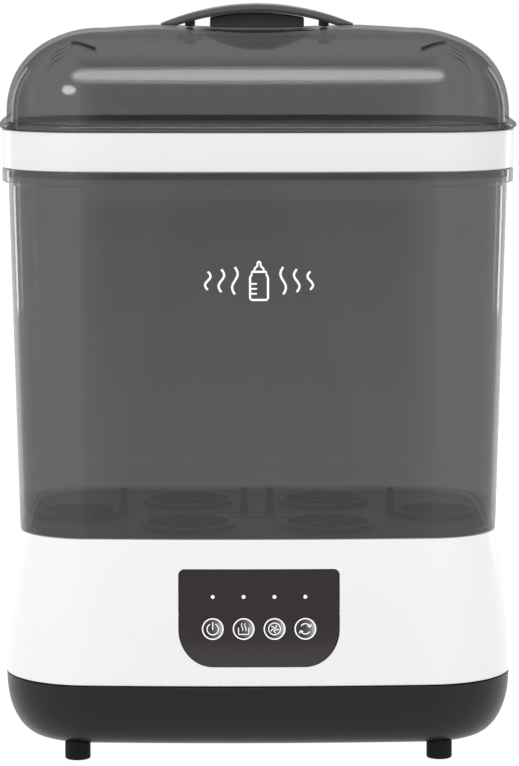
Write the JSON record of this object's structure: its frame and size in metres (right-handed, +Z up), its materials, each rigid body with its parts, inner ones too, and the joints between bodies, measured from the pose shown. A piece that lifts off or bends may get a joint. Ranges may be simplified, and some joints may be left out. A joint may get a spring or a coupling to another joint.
{
  "type": "bottle sterilizer",
  "caption": "Electric steam sterilizer and dryer for baby bottles, with a see-through smoke chamber and lid, a tray band, a heated base and push buttons.",
  "frame": {"origin": "centre of the footprint on the plane that the feet stand on", "axes": "+Z up, -Y the front with the control panel, +X to the right of someone facing the front"},
  "size_m": [0.2548, 0.1882, 0.369],
  "materials": {
    "white_plastic": "satin gloss",
    "black_plastic": "fine satin",
    "smoke_plastic": "clear smoke-grey gloss, see-through",
    "handle_plastic": "satin",
    "grip_plastic": "satin",
    "panel_gloss": "mirror gloss",
    "button_gloss": "gloss",
    "led_lens": "frosted",
    "stainless": "brushed",
    "screw_steel": "zinc plated",
    "foot_rubber": "matte",
    "grey_plastic": "satin",
    "cast_alloy": "cast",
    "circuit_board": "lacquered",
    "filter_paper": "pleated",
    "silicone": "matte"
  },
  "bodies": {
    "base": {"bottom_shell": "black_plastic", "base_housing": "white_plastic", "heating_plate": "stainless", "plate_gasket": "silicone", "heater_ring": "cast_alloy", "thermostat": "cast_alloy", "air_outlet_grille": "white_plastic", "air_duct": "grey_plastic", "ptc_heater": "cast_alloy", "fan_housing": "grey_plastic", "fan_motor": "cast_alloy", "main_pcb": "circuit_board", "control_pcb": "circuit_board", "control_panel": "panel_gloss", "power_inlet": "black_plastic", "led_lens_1": "led_lens", "led_lens_2": "led_lens", "led_lens_3": "led_lens", "led_lens_4": "led_lens", "foot_front_left": "foot_rubber", "foot_front_right": "foot_rubber", "foot_rear_left": "foot_rubber", "foot_rear_right": "foot_rubber", "base_screw_1": "screw_steel", "base_screw_2": "screw_steel", "base_screw_3": "screw_steel", "base_screw_4": "screw_steel"},
    "fan": {"fan_impeller": "black_plastic"},
    "power_key": {"power_button": "button_gloss"},
    "sterilize_key": {"sterilize_button": "button_gloss"},
    "dry_key": {"dry_button": "button_gloss"},
    "cycle_key": {"cycle_button": "button_gloss"},
    "filter": {"filter_cover": "black_plastic", "hepa_filter": "filter_paper"},
    "rack": {"bottle_rack": "grey_plastic"},
    "chamber": {"chamber_shell": "smoke_plastic"},
    "tray": {"accessory_tray": "white_plastic"},
    "lid": {"lid_shell": "smoke_plastic", "handle_arch": "handle_plastic", "handle_grip": "grip_plastic", "handle_tab_left": "handle_plastic", "handle_tab_right": "handle_plastic", "handle_screw_left": "screw_steel", "handle_screw_right": "screw_steel"}
  },
  "joints": [
    {"name": "lid_lift", "type": "slide", "parent": "tray", "child": "lid", "axis": [0, 0, 1], "range_m": [0, 0.1]},
    {"name": "tray_lift", "type": "slide", "parent": "chamber", "child": "tray", "axis": [0, 0, 1], "range_m": [0, 0.08]},
    {"name": "chamber_lift", "type": "slide", "parent": "base", "child": "chamber", "axis": [0, 0, 1], "range_m": [0, 0.2]},
    {"name": "rack_lift", "type": "slide", "parent": "base", "child": "rack", "axis": [0, 0, 1], "range_m": [0, 0.14]},
    {"name": "power_press", "type": "slide", "parent": "base", "child": "power_key", "axis": [0.0162, 0.9949, -0.0994], "range_m": [0, 0.0006], "stiffness_N_per_m": 1500, "springref_m": -0.0006},
    {"name": "sterilize_press", "type": "slide", "parent": "base", "child": "sterilize_key", "axis": [0.0054, 0.995, -0.0994], "range_m": [0, 0.0006], "stiffness_N_per_m": 1500, "springref_m": -0.0006},
    {"name": "dry_press", "type": "slide", "parent": "base", "child": "dry_key", "axis": [-0.0054, 0.995, -0.0994], "range_m": [0, 0.0006], "stiffness_N_per_m": 1500, "springref_m": -0.0006},
    {"name": "cycle_press", "type": "slide", "parent": "base", "child": "cycle_key", "axis": [-0.0162, 0.9949, -0.0994], "range_m": [0, 0.0006], "stiffness_N_per_m": 1500, "springref_m": -0.0006},
    {"name": "filter_pull", "type": "slide", "parent": "base", "child": "filter", "axis": [0, 0, -1], "range_m": [0, 0.03]},
    {"name": "fan_spin", "type": "hinge", "parent": "base", "child": "fan", "pos_m": [0, 0.008, 0.04], "axis": [0, 0, 1], "continuous": true}
  ]
}
